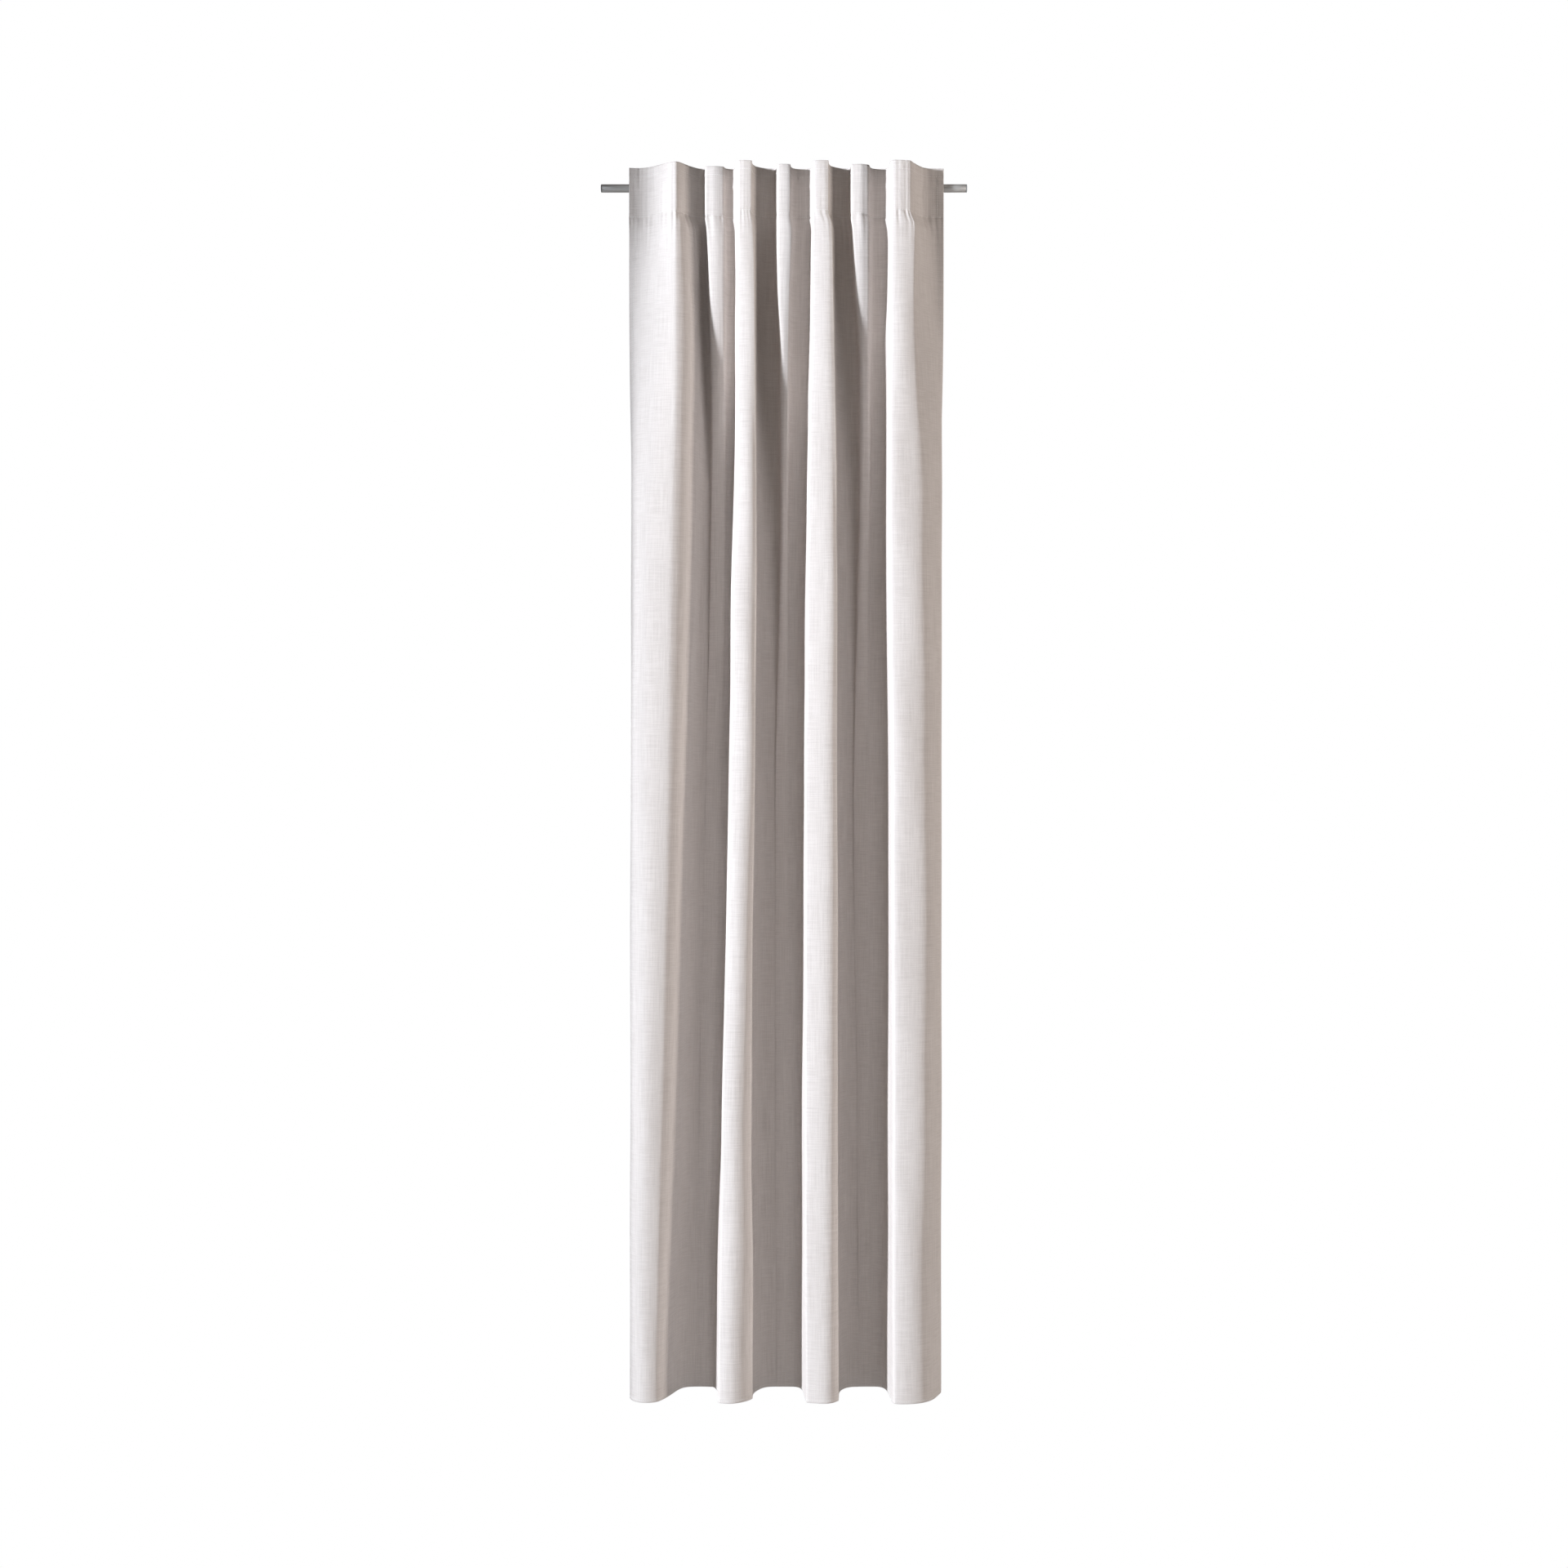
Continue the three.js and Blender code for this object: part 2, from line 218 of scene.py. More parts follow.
def right_margin():
    """The last fold's long right side and the panel's right edge."""
    left = down(208, 207, 206, 205, 205, 211, 213, 213)
    return [
        (left + down(5, 5, 5, 3, 0, -2, -6, -10), FLOOR - 1),
        (left + 1, mix(FRONT, FLOOR, 0.5)),
        (left, FRONT + 8),
        (left + 5, FRONT - 1),
        (down(229, 231, 233, 234, 234, 236, 240, 245), FRONT - 2),
        (down(246, 254, 253, 256, 262, 266, 266, 262), FRONT + down(2, 3, 3, 4, 4, 3, 2, 1)),
        (down(249, 258, 257, 262, 274, 280, 280, 276), FRONT + down(3, 4, 5, 8, 10, 9, 8, 8)),
        (down(251, 259, 260, 272, 290, 295, 295, 289), FRONT + down(9, 10, 13, 17, 22, 21, 20, 20)),
        (down(264, 270, 274, 288, 303, 308, 308, 303), FRONT + down(32, 32, 30, 30, 38, 40, 40, 42)),
        (down(279, 286, 290, 302, 313, 316, 316, 314), down(-13, -18, -22, -22, -6, 6, 12, 18)),
        (down(302, 303, 304, 312, 317, 316, 316, 317), down(-12, -12, -13, -12, 6, 20, 26, 30)),
        (down(318, 318, 318, 317, 314, 313, 313, 315), down(-12, -12, -10, -3, 20, 36, 42, 46)),
    ]


GUIDES = [
    *left_margin(),
    *pleat(
        down(-157, -154, -150, -146, -148, -160, -172, -176),
        down(-131, -130, -129, -128, -130, -142, -158, -164),
        down(-119, -117, -116, -117, -118, -128, -144, -152),
        down(-29, -29, -24, -5, 36, 55.5, 59.7, 65.7),
    ),
    *fold(
        down(-95, -97, -96, -96, -101, -111, -123, -131),
        down(-80, -79, -76, -74, -74, -86, -97, -104),
        down(-64, -61, -59, -58, -56, -60, -66, -62),
        down(2, 3, 3, 4, 7, 12, 22, 36),
    ),
    *pleat(
        down(-15, -15, -14, -8, -8, -18, -18, -15),
        down(8, 10, 7, 4, 1, -4, -6, -3),
        down(13, 17, 13, 10, 8, 8, 5, 8),
        down(-43, -44, -38, -25, 22, 54, 59.5, 65.7),
    ),
    *fold(
        down(56, 54, 52, 50, 45, 40, 40, 42),
        down(71, 79, 82, 83, 86, 83, 82, 82),
        down(87, 93, 96, 99, 103, 105, 106, 108),
        down(2, 3, 3, 4, 7, 11, 16, 22),
    ),
    *pleat(
        down(132, 134, 140, 150, 150, 140, 148, 150),
        down(157, 158, 159, 160, 161, 155, 160, 162),
        down(170, 172, 172, 172, 172, 168, 172, 174),
        down(-42, -42, -34, -12, 26, 54, 59.5, 65.7),
    ),
    *right_margin(),
]


def loft(guides):
    """Points of a smooth sheet drawn towards the guide lines, as rows of columns."""
    points = np.array([np.stack([x, y, ROWS], 1) for x, y in guides])
    first = 2 * points[:1] - points[1:2]
    last = 2 * points[-1:] - points[-2:-1]
    points = np.concatenate([first, points, last])
    columns = []
    for n in range(len(guides) - 1):
        for step in range(STEPS):
            t = step / STEPS
            weights = ((1 - t) ** 3, 3 * t**3 - 6 * t**2 + 4, -3 * t**3 + 3 * t**2 + 3 * t + 1, t**3)
            columns.append(sum(w * points[n + k] for k, w in enumerate(weights)) / 6)
    columns.append((points[-3] + 4 * points[-2] + points[-1]) / 6)
    return np.array(columns).transpose(1, 0, 2)


def surface_normals(points):
    """Unit normals of a sheet of rows and columns, pointing to its front."""
    across = np.gradient(points, axis=1)
    downward = np.gradient(points, axis=0)
    normals = np.cross(downward, across)
    return normals / np.linalg.norm(normals, axis=2, keepdims=True)


def flat_positions(points):
    """How far along the uncreased cloth each column lies, from the left edge."""
    steps = np.linalg.norm(np.diff(points, axis=1), axis=2).mean(axis=0)
    along = np.concatenate([[0], np.cumsum(steps)])
    return along / along[-1] * CUT_WIDTH


def ripples(along, seed, lengths, count):
    """Smooth irregular waves along the cloth, about 1 high."""
    random = np.random.default_rng(seed)
    total = np.zeros_like(along)
    for _ in range(count):
        length = random.uniform(*lengths)
        total += np.sin(2 * math.pi * (along / length + random.random()))
    return total / math.sqrt(count)


def bump_at(distance, width):
    """A smooth bump, 1 high at no distance and a third of that at its width."""
    return np.exp(-((distance / width) ** 2))


# Small creases, as heights and widths
ROD_MARK = 1.1
ROD_MARK_DEPTHS = (-24, -12)
TAPE_MARK = (0.35, 2.5)
SEAM_GROOVE = (1.4, 2.4)
HEADING_PUCKERS = 0.22
SEAM_PUCKERS = 0.8
PUCKER_REACH = 34
SWAY = 0.8
SWAY_STARTS = 200
# Where small notches are pressed into the top edge at the left
NOTCHES = (-288, -258)
NOTCH_FOOT = -12
# A curved crease in the heading at the right
CURL_X = 279
CURL_Z = -20
CURL_HEIGHT = 24


def relief(points, flat):
    """How far the cloth's small creases lift it, at each row and column."""
    z = points[:, :, 2]
    x = points[:, :, 0]
    u = np.broadcast_to(flat, z.shape)
    heading = z > SEAM
    far, near = ROD_MARK_DEPTHS
    near_rod = np.clip((points[:, :, 1] - far) / (near - far), 0, 1)
    lift = ROD_MARK * bump_at(z, ROD_RADIUS * 0.8) * near_rod * heading
    lift += TAPE_MARK[0] * bump_at(z - TAPE_TOP, TAPE_MARK[1])
    lift -= SEAM_GROOVE[0] * bump_at(z - SEAM, SEAM_GROOVE[1])
    below = np.clip(SEAM - z, 0, None)
    puckers = ripples(u, 3, (11, 26), 7) + 0.5 * ripples(u + 0.35 * z, 4, (17, 40), 5)
    fading = SEAM_PUCKERS * np.exp(-below / PUCKER_REACH)
    lift += np.where(heading, HEADING_PUCKERS, fading) * puckers
    released = np.clip(below / SWAY_STARTS, 0, 1)
    sway = ripples(u + 0.05 * z, 5, (70, 160), 5) * ripples(z, 6, (300, 760), 5)
    lift += SWAY * released * sway
    for place in NOTCHES:
        lift -= bump_at(x - place, 1.6) * np.clip((z - NOTCH_FOOT) / 20, 0, 1)
    curl = CURL_X - 4 * bump_at(z - CURL_Z, CURL_HEIGHT)
    lift -= 1.3 * bump_at(x - curl, 1.8) * bump_at(z - CURL_Z + 1, CURL_HEIGHT)
    side_seam = SIDE_HEM - 2.5
    for in_from_edge in (u, CUT_WIDTH - u):
        lift -= 0.3 * bump_at(in_from_edge - side_seam, 1.5)
    return lift


BASE = loft(GUIDES)
FLAT_U = flat_positions(BASE)
SHEET = BASE + surface_normals(BASE) * relief(BASE, FLAT_U)[:, :, None]
NORMALS = surface_normals(SHEET)
LAST_COLUMN = SHEET.shape[1] - 1

# ---------------------------------------------------------------- mesh making


def add_object(name, vertices, faces, material, uv=None):
    """A smooth-shaded mesh from points in millimetres, with an optional flat_cloth map."""
    mesh = bpy.data.meshes.new(name)
    mesh.from_pydata((np.asarray(vertices) * MM).tolist(), [], [tuple(face) for face in faces])
    mesh.polygons.foreach_set("use_smooth", [True] * len(mesh.polygons))
    if uv is not None:
        loops = np.zeros(len(mesh.loops), dtype=int)
        mesh.loops.foreach_get("vertex_index", loops)
        flat_map = mesh.uv_layers.new(name="flat_cloth")
        flat_map.data.foreach_set("uv", np.asarray(uv)[loops].ravel())
    mesh.materials.append(material)
    mesh.update()
    piece = bpy.data.objects.new(name, mesh)
    bpy.context.scene.collection.objects.link(piece)
    return piece


def nearest_row(z):
    """The number of the sheet's row nearest to a height."""
    return int(np.argmin(np.abs(ROWS - z)))


def rim_of(rows, columns):
    """The vertex numbers round a grid's edge, in order."""
    top = list(range(columns))
    right = [row * columns + columns - 1 for row in range(1, rows)]
    foot = [(rows - 1) * columns + column for column in range(columns - 2, -1, -1)]
    left = [row * columns for row in range(rows - 2, 0, -1)]
    return top + right + foot + left


def layer(name, material, front, back, rows=(TOP, HEM), columns=(0, LAST_COLUMN)):
    """A closed layer of cloth between two distances forward of the sheet."""
    first, last = nearest_row(rows[0]), nearest_row(rows[1])
    middle = SHEET[first:last + 1, columns[0]:columns[1] + 1]
    normals = NORMALS[first:last + 1, columns[0]:columns[1] + 1]
    height, width = middle.shape[:2]
    vertices = np.concatenate([
        (middle + normals * front).reshape(-1, 3),
        (middle + normals * back).reshape(-1, 3),
    ])
    count = height * width
    faces = []
    for row in range(height - 1):
        for column in range(width - 1):
            a = row * width + column
            quad = (a, a + width, a + width + 1, a + 1)
            faces.append(quad)
            faces.append(tuple(corner + count for corner in reversed(quad)))
    rim = rim_of(height, width)
    for a, b in zip(rim, rim[1:] + rim[:1]):
        faces.append((a, b, b + count, a + count))
    along = np.broadcast_to(FLAT_U[columns[0]:columns[1] + 1] / CUT_WIDTH, (height, width))
    up = np.broadcast_to(((ROWS[first:last + 1] - HEM) / CUT_LENGTH)[:, None], (height, width))
    uv = np.stack([along, up], 2).reshape(-1, 2)
    return add_object(name, vertices, faces, material, np.concatenate([uv, uv]))


THREAD_SIDES = 6
THREAD_RINGS = 5


def stitches(name, material, starts, directions, normals, length=STITCH_LENGTH, radius=THREAD_RADIUS):
    """Short lengths of thread, each dipping into the cloth at both its ends."""
    vertices = []
    faces = []
    for start, direction, normal in zip(starts, directions, normals):
        side = np.cross(direction, normal)
        base = len(vertices)
        for ring in range(THREAD_RINGS):
            t = ring / (THREAD_RINGS - 1) * 2 - 1
            arch = math.sqrt(max(0, 1 - t * t))
            middle = start + direction * (t * length / 2) + normal * (radius * (1.1 * arch - 0.4))
            thick = radius * (0.35 + 0.65 * arch)
            for n in range(THREAD_SIDES):
                angle = 2 * math.pi * n / THREAD_SIDES
                vertices.append(middle + thick * (math.cos(angle) * side + math.sin(angle) * normal))
        for ring in range(THREAD_RINGS - 1):
            for n in range(THREAD_SIDES):
                a = base + ring * THREAD_SIDES + n
                b = base + ring * THREAD_SIDES + (n + 1) % THREAD_SIDES
                faces.append((a, b, b + THREAD_SIDES, a + THREAD_SIDES))
        faces.append(tuple(base + n for n in reversed(range(THREAD_SIDES))))
        end = base + (THREAD_RINGS - 1) * THREAD_SIDES
        faces.append(tuple(end + n for n in range(THREAD_SIDES)))
    return add_object(name, vertices, faces, material)


def walk(line, normals, pitch):
    """Places every `pitch` along a line of points, with directions and normals."""
    steps = np.linalg.norm(np.diff(line, axis=0), axis=1)
    along = np.concatenate([[0], np.cumsum(steps)])
    at = np.arange(pitch, along[-1] - pitch, pitch)
    places = np.stack([np.interp(at, along, line[:, k]) for k in range(3)], 1)
    facing = np.stack([np.interp(at, along, normals[:, k]) for k in range(3)], 1)
    facing /= np.linalg.norm(facing, axis=1, keepdims=True)
    ahead = np.stack([np.interp(at + 0.5, along, line[:, k]) for k in range(3)], 1)
    directions = ahead - places
    directions /= np.linalg.norm(directions, axis=1, keepdims=True)
    return places, directions, facing


def row_line(z):
    """The sheet's points and normals along the height z."""
    below = int(np.clip(np.searchsorted(-ROWS, -z), 1, len(ROWS) - 1))
    share = (ROWS[below - 1] - z) / (ROWS[below - 1] - ROWS[below])
    line = mix(SHEET[below - 1], SHEET[below], share)
    return line, mix(NORMALS[below - 1], NORMALS[below], share)


def seam_across(name, material, z, facing=1):
    """A row of stitches across the panel at a height; facing -1 puts it on the back."""
    line, normals = row_line(z)
    places, directions, outward = walk(line, normals * facing, STITCH_PITCH)
    return stitches(name, material, places + outward * CLOTH / 2, directions, outward)


def seam_down(name, material, column, rows):
    """A row of stitches down a column of the sheet, between two heights."""
    first, last = nearest_row(rows[0]), nearest_row(rows[1])
    line = SHEET[first:last + 1, column]
    places, directions, outward = walk(line, NORMALS[first:last + 1, column], STITCH_PITCH)
    return stitches(name, material, places + outward * CLOTH / 2, directions, outward)


# ---------------------------------------------------------------- materials


class Nodes:
    """Adds and joins nodes in a material."""

    def __init__(self, name):
        self.material = bpy.data.materials.new(name)
        self.material.use_nodes = True
        self.tree = self.material.node_tree
        self.shader = self.tree.nodes["Principled BSDF"]

    def add(self, kind, **settings):
        node = self.tree.nodes.new("ShaderNode" + kind)
        for key, value in settings.items():
            setattr(node, key, value)
        return node

    def join(self, output, target):
        self.tree.links.new(output, target)

    def scaled(self, source, scale):
        """Coordinates from a source socket, stretched by scale."""
        mapping = self.add("Mapping")
        mapping.inputs["Scale"].default_value = scale
        self.join(source, mapping.inputs["Vector"])
        return mapping.outputs["Vector"]

    def noise(self, coordinates, scale, detail=3.0, roughness=0.5):
        node = self.add("TexNoise")
        node.inputs["Scale"].default_value = scale
        node.inputs["Detail"].default_value = detail
        node.inputs["Roughness"].default_value = roughness
        self.join(coordinates, node.inputs["Vector"])
        return node.outputs["Fac"]

    def wave(self, coordinates, direction, scale, distortion):
        node = self.add("TexWave", bands_direction=direction)
        node.inputs["Scale"].default_value = scale
        node.inputs["Distortion"].default_value = distortion
        node.inputs["Detail"].default_value = 1.0
        self.join(coordinates, node.inputs["Vector"])
        return node.outputs["Fac"]

    def maths(self, operation, a, b):
        node = self.add("Math", operation=operation)
        for socket, value in zip(node.inputs, (a, b)):
            if isinstance(value, (int, float)):
                socket.default_value = value
            else:
                self.join(value, socket)
        return node.outputs[0]

    def ramp(self, factor, stops):
        node = self.add("ValToRGB")
        elements = node.color_ramp.elements
        while len(elements) < len(stops):
            elements.new(0.5)
        for element, (place, colour) in zip(elements, stops):
            element.position = place
            element.color = (*colour, 1)
        self.join(factor, node.inputs["Fac"])
        return node.outputs["Color"]

    def blend_colours(self, factor, a, b):
        node = self.add("Mix", data_type="RGBA")
        for socket, value in zip((node.inputs[0], node.inputs[6], node.inputs[7]), (factor, a, b)):
            if isinstance(value, (int, float)):
                socket.default_value = value
            elif isinstance(value, tuple):
                socket.default_value = (*value, 1)
            else:
                self.join(value, socket)
        return node.outputs[2]

    def bump(self, height, distance, strength):
        node = self.add("Bump")
        node.inputs["Distance"].default_value = distance
        node.inputs["Strength"].default_value = strength
        self.join(height, node.inputs["Height"])
        self.join(node.outputs["Normal"], self.shader.inputs["Normal"])

    def colour(self, output):
        self.join(output, self.shader.inputs["Base Color"])

    def rough(self, factor, low, high):
        node = self.add("MapRange")
        node.inputs["To Min"].default_value = low
        node.inputs["To Max"].default_value = high
        self.join(factor, node.inputs["Value"])
        self.join(node.outputs["Result"], self.shader.inputs["Roughness"])

    def fix(self, **values):
        for key, value in values.items():
            self.shader.inputs[key.replace("_", " ")].default_value = value


def linen(name, light, dark):
    """Plain weave with uneven yarns: long slubs both ways over a fine thread grid."""
    nodes = Nodes(name)
    uv = nodes.add("UVMap", uv_map="flat_cloth").outputs["UV"]
    metres = nodes.scaled(uv, (CUT_WIDTH * MM, CUT_LENGTH * MM, 1))
    weft = nodes.noise(nodes.scaled(metres, (22, 620, 1)), 1.0, 4.0, 0.65)
    warp = nodes.noise(nodes.scaled(metres, (620, 12, 1)), 1.0, 4.0, 0.65)
    patches = nodes.noise(metres, 9.0, 3.0)
    yarns = nodes.maths("ADD", weft, warp)
    slubs = nodes.ramp(nodes.maths("MULTIPLY", yarns, 0.5), [(0.41, dark), (0.57, light)])
    tone = nodes.ramp(patches, [(0.3, tuple(c * 0.975 for c in light)), (0.7, light)])
    nodes.colour(nodes.blend_colours(0.6, tone, slubs))
    across = nodes.wave(metres, "X", 420, 0.6)
    upward = nodes.wave(metres, "Y", 400, 0.6)
    grid = nodes.maths("MAXIMUM", across, upward)
    height = nodes.maths("ADD", grid, nodes.maths("MULTIPLY", yarns, 2.2))
    nodes.bump(height, 0.00022, 0.8)
    nodes.rough(yarns, 0.82, 0.96)
    nodes.fix(Sheen_Weight=0.12, Sheen_Roughness=0.5, Specular_IOR_Level=0.25)
    return nodes.material


def webbing(name, light, dark):
    """Woven tape: fine ribs along its length and a twill across it."""
    nodes = Nodes(name)
    place = nodes.add("TexCoord").outputs["Object"]
    ribs = nodes.wave(place, "Z", 320, 0.4)
    twill = nodes.wave(place, "DIAGONAL", 260, 0.5)
    fibres = nodes.noise(nodes.scaled(place, (900, 900, 240)), 1.0, 4.0)
    weave = nodes.maths("ADD", nodes.maths("MULTIPLY", ribs, 0.6), nodes.maths("MULTIPLY", twill, 0.5))
    height = nodes.maths("ADD", weave, fibres)
    nodes.colour(nodes.ramp(nodes.maths("MULTIPLY", height, 0.5), [(0.25, dark), (0.75, light)]))
    nodes.bump(height, 0.0003, 0.9)
    nodes.rough(fibres, 0.78, 0.94)
    nodes.fix(Sheen_Weight=0.15, Sheen_Roughness=0.5, Specular_IOR_Level=0.3)
    return nodes.material


def sewing_thread(name, light, dark):
    """Twisted polyester thread, a little glossier than the cloth."""
    nodes = Nodes(name)
    place = nodes.add("TexCoord").outputs["Object"]
    twist = nodes.wave(place, "DIAGONAL", 900, 0.5)
    fuzz = nodes.noise(place, 1500, 3.0)
    mottle = nodes.maths("MULTIPLY", nodes.maths("ADD", twist, fuzz), 0.5)
    nodes.colour(nodes.ramp(mottle, [(0.2, dark), (0.8, light)]))
    nodes.bump(twist, 0.0001, 0.7)
    nodes.rough(fuzz, 0.5, 0.7)
    nodes.fix(Sheen_Weight=0.1, Specular_IOR_Level=0.4)
    return nodes.material


def satin_steel(name, light, dark):
    """Drawn steel: hair lines along the rod, with faint smudges in the gloss."""
    nodes = Nodes(name)
    place = nodes.add("TexCoord").outputs["Object"]
    hairs = nodes.noise(nodes.scaled(place, (3, 2600, 2600)), 1.0, 4.0, 0.6)
    smudges = nodes.noise(place, 30, 3.0)
    nodes.colour(nodes.ramp(hairs, [(0.3, dark), (0.7, light)]))
    nodes.bump(hairs, 0.00002, 0.5)
    nodes.rough(nodes.maths("MULTIPLY", nodes.maths("ADD", hairs, smudges), 0.5), 0.46, 0.62)
    nodes.fix(Metallic=0.6)
    return nodes.material


def moulded_plastic(name, light, dark):
    """Fine spark-eroded plastic, with rubbed lighter patches."""
    nodes = Nodes(name)
    place = nodes.add("TexCoord").outputs["Object"]
    grain = nodes.noise(place, 2600, 3.0)
    rubbed = nodes.noise(place, 160, 2.0)
    nodes.colour(nodes.ramp(rubbed, [(0.35, dark), (0.7, light)]))
    nodes.bump(grain, 0.00005, 0.6)
    nodes.rough(grain, 0.42, 0.6)
    return nodes.material


CLOTH_LOOK = linen("curtain_linen", (0.70, 0.64, 0.602), (0.54, 0.48, 0.443))
HEM_LOOK = linen("hem_linen", (0.68, 0.62, 0.585), (0.52, 0.46, 0.425))
TAPE_LOOK = webbing("tape_webbing", (0.74, 0.71, 0.67), (0.54, 0.51, 0.47))
TAB_LOOK = webbing("tab_webbing", (0.72, 0.69, 0.65), (0.50, 0.47, 0.43))
THREAD_LOOK = sewing_thread("sewing_thread", (0.88, 0.86, 0.83), (0.66, 0.63, 0.59))
STEEL_LOOK = satin_steel("satin_steel", (0.60, 0.585, 0.565), (0.50, 0.487, 0.47))
PLUG_LOOK = moulded_plastic("end_plug", (0.27, 0.268, 0.262), (0.2, 0.198, 0.193))

# ---------------------------------------------------------------- panel pieces

BEHIND_FRONT = -CLOTH / 2 - LAYER_GAP
BEHIND_CLOTH = BEHIND_FRONT - CLOTH
BEHIND_TAPE = BEHIND_FRONT - TAPE
HEM_GAP = 10
SEAM_INSET = 2
BOTTOM_SEAM_INSET = 1
TAPE_INSET = 2
# Columns of the sheet in from its edge: the side seams, and the ends of the heading tape
SIDE_SEAM = STEPS - 2
TAPE_FIRST = STEPS + 2


def on_panel(piece, slot, *nodes):
    """The piece stands for those CAD nodes and hangs with the panel."""
    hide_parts(*nodes)
    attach(piece, "panel")
    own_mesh(piece)
    return piece


def make_panel():
    cloth = layer("curtain_cloth", CLOTH_LOOK, CLOTH / 2, -CLOTH / 2)
    on_panel(cloth, "curtain_cloth", "curtain_fabric")
    hem_foot = TOP - TOP_HEM
    hem_top = HEM + BOTTOM_HEM
    side_top = hem_foot - HEM_GAP
    side_foot = hem_top + HEM_GAP
    hems = [
        ("top_hem", (TOP, hem_foot), (0, LAST_COLUMN)),
        ("bottom_hem", (hem_top, HEM), (0, LAST_COLUMN)),
        ("side_hem_left", (side_top, side_foot), (0, STEPS)),
        ("side_hem_right", (side_top, side_foot), (LAST_COLUMN - STEPS, LAST_COLUMN)),
    ]
    parts = [
        on_panel(
            layer(name + "_cloth", HEM_LOOK, BEHIND_FRONT, BEHIND_CLOTH, rows, columns),
            "curtain_cloth", name,
        )
        for name, rows, columns in hems
    ]
    tape = layer(
        "heading_tape_woven", TAPE_LOOK, BEHIND_FRONT, BEHIND_TAPE,
        (TAPE_TOP - TAPE_INSET, SEAM), (TAPE_FIRST, LAST_COLUMN - TAPE_FIRST),
    )
    parts.append(on_panel(tape, "tape_webbing", "heading_tape"))
    seams = [
        ("heading_seam_upper", seam_across, (hem_foot - SEAM_INSET,)),
        ("heading_seam_lower", seam_across, (SEAM + SEAM_INSET,)),
        ("bottom_seam", seam_across, (hem_top - BOTTOM_SEAM_INSET,)),
        ("side_seam_left", seam_down, (SIDE_SEAM, (hem_foot, hem_top))),
        ("side_seam_right", seam_down, (LAST_COLUMN - SIDE_SEAM, (hem_foot, hem_top))),
    ]
    for name, make, facts in seams:
        parts.append(on_panel(make(name + "_stitches", THREAD_LOOK, *facts), "sewing_thread", name))


# ---------------------------------------------------------------- tabs

TAB_WIDTH = (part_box("tab_strap_1")[1].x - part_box("tab_strap_1")[0].x) / MM
TAB_THICKNESS = 1.0
TAB_SIDE_ROUNDING = 0.42
TAB_ARC_STEPS = 28
TAB_COLUMNS = 14
TAB_UPPER = (18, 12.5)
TAB_LOWER = (-52, -61)
TACK_WIDTH = 22
TACK_HEIGHT = 2.6
TACK_PITCH = 0.85


def tangent_angle(y, z, radius, turn):
    """Where a straight line from (y, z) meets a circle round the rod; turn picks the side."""
    return math.atan2(z, y) + turn * math.acos(radius / math.hypot(y, z))


def tab_path():
    """The tab's middle line seen along the rod: sewn, over the rod's back, sewn."""
    sewn = -ROD_RADIUS + TAB_THICKNESS / 2
    radius = ROD_RADIUS + 0.3 + TAB_THICKNESS / 2
    start = tangent_angle(sewn, TAB_UPPER[1], radius, -1)
    end = tangent_angle(sewn, TAB_LOWER[0], radius, 1)
    path = [(sewn, mix(*TAB_UPPER, n / 4)) for n in range(5)]
    for n in range(TAB_ARC_STEPS + 1):
        angle = mix(start, end, n / TAB_ARC_STEPS)
        path.append((radius * math.cos(angle), radius * math.sin(angle)))
    run_start = path[-1]
    for n in range(1, 9):
        path.append((mix(run_start[0], sewn, n / 8), mix(run_start[1], TAB_LOWER[0], n / 8)))
    path += [(sewn, mix(*TAB_LOWER, n / 4)) for n in range(1, 5)]
    return np.array(path)


def make_strap(number, x):
    """A strap with thinner woven edges, closed all round."""
    path = tab_path()
    direction = np.gradient(path, axis=0)
    direction /= np.linalg.norm(direction, axis=1, keepdims=True)
    outward = np.stack([-direction[:, 1], direction[:, 0]], 1)
    across = np.linspace(-1, 1, TAB_COLUMNS + 1)
    thick = TAB_THICKNESS / 2 * (1 - TAB_SIDE_ROUNDING * np.abs(across) ** 8)
    vertices = []
    for side in (1, -1):
        for point, out in zip(path, outward):
            for place, half in zip(across, thick):
                y, z = point + out * half * side
                vertices.append((x + place * TAB_WIDTH / 2, y, z))
    width = TAB_COLUMNS + 1
    count = len(path) * width
    faces = []
    for row in range(len(path) - 1):
        for column in range(width - 1):
            a = row * width + column
            quad = (a, a + 1, a + width + 1, a + width)
            faces.append(quad)
            faces.append(tuple(corner + count for corner in reversed(quad)))
    rim = rim_of(len(path), width)
    for a, b in zip(rim, rim[1:] + rim[:1]):
        faces.append((b, a, a + count, b + count))
    return add_object(f"tab_{number}_strap", vertices, faces, TAB_LOOK)


def make_tack(number, end, x, z):
    """A bar tack: upright stitches side by side."""
    places = []
    count = int(TACK_WIDTH / TACK_PITCH)
    y = -ROD_RADIUS + TAB_THICKNESS
    for n in range(count + 1):
        places.append((x + (n / count - 0.5) * TACK_WIDTH, y, z))
    lean = [np.array((0.12 * (-1) ** n, 0, 1)) for n in range(len(places))]
    directions = [vector / np.linalg.norm(vector) for vector in lean]
    normals = [np.array((0, 1, 0))] * len(places)
    return stitches(
        f"tab_{number}_tack_{end}", THREAD_LOOK, np.array(places), directions, normals,
        TACK_HEIGHT, THREAD_RADIUS * 1.4,
    )


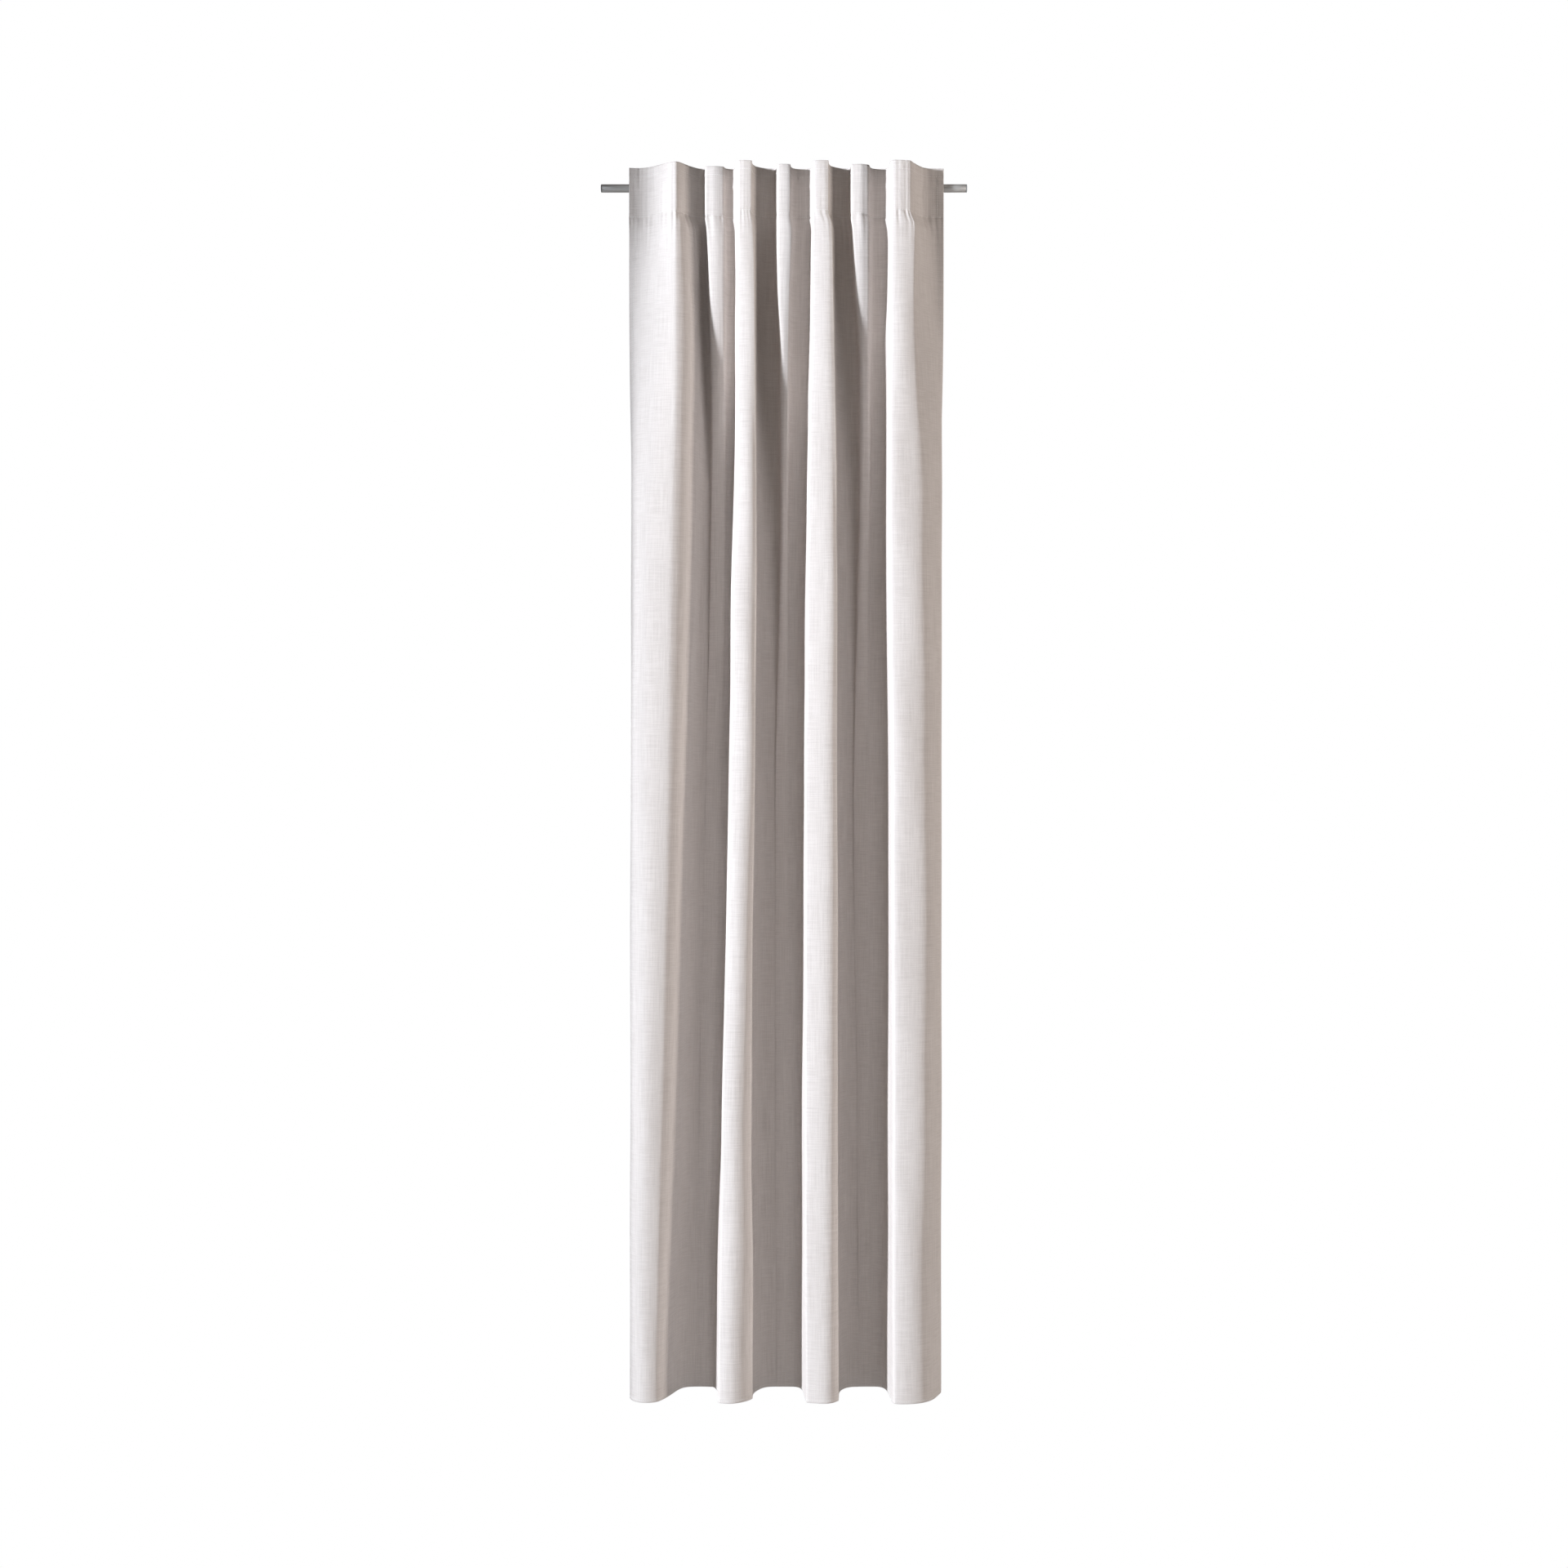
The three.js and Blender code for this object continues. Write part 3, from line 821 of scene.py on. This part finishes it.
def make_tabs():
    for n, x in enumerate(TAB_X):
        number = n + 1
        strap = make_strap(number, x)
        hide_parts(f"tab_strap_{number}")
        pieces = [strap]
        for end, (a, b) in (("upper", TAB_UPPER), ("lower", TAB_LOWER)):
            tack = make_tack(number, end, x, (a + b) / 2)
            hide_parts(f"bar_tack_{end}_{number}")
            pieces.append(tack)
        for piece in pieces:
            if number == 1:
                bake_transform(piece)
            else:
                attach(piece, f"tab_{number}")


# ---------------------------------------------------------------- rod

ROD_SIDES = 96
ROD_ROWS = 24
ROD_END_BEVEL = 0.4
PLUG_RIM = 1.0
PLUG_GAP = 0.3


def turned(name, profile, material):
    """A solid of revolution about the rod's axis; profile holds (x, radius) pairs."""
    vertices = []
    for x, radius in profile:
        for n in range(ROD_SIDES):
            angle = 2 * math.pi * n / ROD_SIDES
            vertices.append((x, radius * math.cos(angle), radius * math.sin(angle)))
    faces = []
    rings = len(profile)
    for ring in range(rings):
        following = (ring + 1) % rings
        for n in range(ROD_SIDES):
            m = (n + 1) % ROD_SIDES
            faces.append((
                ring * ROD_SIDES + n, following * ROD_SIDES + n,
                following * ROD_SIDES + m, ring * ROD_SIDES + m,
            ))
    return add_object(name, vertices, faces, material)


def make_rod():
    low, high = ROD_LOW.x, ROD_HIGH.x
    inner = ROD_RADIUS - 1
    ends = (low + ROD_END_BEVEL, high - ROD_END_BEVEL)
    outer = [(mix(*ends, n / ROD_ROWS), ROD_RADIUS) for n in range(ROD_ROWS + 1)]
    profile = [
        (low, inner), (low, ROD_RADIUS - ROD_END_BEVEL), *outer,
        (high, ROD_RADIUS - ROD_END_BEVEL), (high, inner),
    ]
    tube = turned("rod_tube_drawn", profile[::-1], STEEL_LOOK)
    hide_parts("rod_tube")
    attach(tube, "rod")
    for side, sign in (("left", -1), ("right", 1)):
        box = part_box(f"rod_plug_{side}")
        end = (box[0].x if sign < 0 else box[1].x) / MM
        inside = (box[1].x if sign < 0 else box[0].x) / MM
        seat = (low if sign < 0 else high) + sign * PLUG_GAP
        spigot = inner - PLUG_GAP
        profile = [
            (inside, 0.01), (inside, spigot - 0.5), (inside + sign * 0.5, spigot), (seat, spigot),
            (seat, ROD_RADIUS - 0.2), (seat + sign * 0.2, ROD_RADIUS), (end - sign * PLUG_RIM, ROD_RADIUS),
            (end - sign * 0.4, ROD_RADIUS - 0.3), (end, ROD_RADIUS - 1.1),
            (end, ROD_RADIUS - 2.6), (end - sign * 0.3, ROD_RADIUS - 3), (end - sign * 0.3, 0.01),
        ]
        plug = turned(f"rod_plug_{side}_moulded", profile, PLUG_LOOK)
        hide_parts(f"rod_plug_{side}")
        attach(plug, "rod")


# ---------------------------------------------------------------- studio

FLOOR_HEIGHT = HEM * MM - 0.25
MIDDLE = Vector((0, 0, CAMERA_HEIGHT))


def make_light(name, place, size, power, colour, target=MIDDLE):
    light = bpy.data.lights.new(name, "AREA")
    light.shape = "DISK"
    light.size = size
    light.energy = power
    light.color = colour
    lamp = bpy.data.objects.new(name, light)
    lamp.location = place
    lamp.rotation_euler = (target - lamp.location).to_track_quat("-Z", "Y").to_euler()
    bpy.context.scene.collection.objects.link(lamp)


def around(degrees, distance, height):
    """A place round the panel: 0 degrees is in front of it and 90 is to its right."""
    angle = math.radians(degrees)
    return Vector((distance * math.sin(angle), -distance * math.cos(angle), height))


KEY_TURN = -56
KEY_AWAY = 6.0
FLAG_AWAY = 2.0
FLAG_EDGE = 0.095
FLAG_LEAN = 0.02
FLAG_WIDTH = 0.9
FLAG_ENDS = (-2.6, 1.2)


def make_lights():
    make_light("key", around(KEY_TURN, KEY_AWAY, 0.35), 0.42, 815, (0.84, 0.91, 1.0))
    make_light("fill_right", around(72, 5.0, -0.4), 1.1, 132, (1.0, 0.94, 0.9))
    make_light("top", around(10, 1.7, 2.2), 1.0, 7, (1.0, 0.95, 0.92), Vector((0, 0, -0.3)))
    make_light("back", around(160, 5.0, 0.6), 3.0, 190, (1.0, 0.98, 0.96))


def make_flag():
    """A dark board beside the key light's path, which softens it on the first fold.
    The camera doesn't see it."""
    black = bpy.data.materials.new("black_board")
    black.use_nodes = True
    black.node_tree.nodes["Principled BSDF"].inputs["Base Color"].default_value = (0.02, 0.02, 0.02, 1)
    middle = around(KEY_TURN, FLAG_AWAY, 0)
    aside = Vector((middle.y, -middle.x, 0)).normalized()
    corners = []
    for z in FLAG_ENDS:
        for width in (0, FLAG_WIDTH):
            corner = middle + aside * (FLAG_EDGE - FLAG_LEAN * z + width)
            corners.append((corner.x / MM, corner.y / MM, z / MM))
    board = add_object("flag", corners, [(0, 1, 3, 2)], black)
    board.visible_camera = False


def seen_white(tree, lit_colour, lit_strength, shader_kind):
    """White where the camera looks straight at it, and a plain pale surface to all light."""
    nodes = tree.nodes
    nodes.clear()
    path = nodes.new("ShaderNodeLightPath")
    mixer = nodes.new("ShaderNodeMixShader")
    plain = nodes.new(shader_kind)
    plain.inputs["Color"].default_value = (*lit_colour, 1)
    if "Strength" in plain.inputs:
        plain.inputs["Strength"].default_value = lit_strength
    bright = nodes.new("ShaderNodeEmission")
    bright.inputs["Color"].default_value = (1, 1, 1, 1)
    tree.links.new(path.outputs["Is Camera Ray"], mixer.inputs[0])
    tree.links.new(plain.outputs[0], mixer.inputs[1])
    tree.links.new(bright.outputs[0], mixer.inputs[2])
    return mixer


def make_surroundings():
    world = bpy.data.worlds.new("studio")
    bpy.context.scene.world = world
    world.use_nodes = True
    mixer = seen_white(world.node_tree, (1.0, 0.86, 0.75), 0.057, "ShaderNodeBackground")
    output = world.node_tree.nodes.new("ShaderNodeOutputWorld")
    world.node_tree.links.new(mixer.outputs[0], output.inputs["Surface"])

    material = bpy.data.materials.new("pale_floor")
    material.use_nodes = True
    mixer = seen_white(material.node_tree, (0.42, 0.41, 0.40), 1, "ShaderNodeBsdfDiffuse")
    output = material.node_tree.nodes.new("ShaderNodeOutputMaterial")
    material.node_tree.links.new(mixer.outputs[0], output.inputs["Surface"])
    half = 6000
    z = FLOOR_HEIGHT / MM
    corners = [(-half, -half, z), (half, -half, z), (half, half, z), (-half, half, z)]
    add_object("floor", corners, [(0, 1, 2, 3)], material)

    view = bpy.context.scene.view_settings
    view.view_transform = "Standard"
    view.look = "None"
    view.exposure = 0
    view.gamma = 1


# ---------------------------------------------------------------- the whole scene

make_rod()
make_panel()
make_tabs()
make_lights()
make_flag()
make_surroundings()
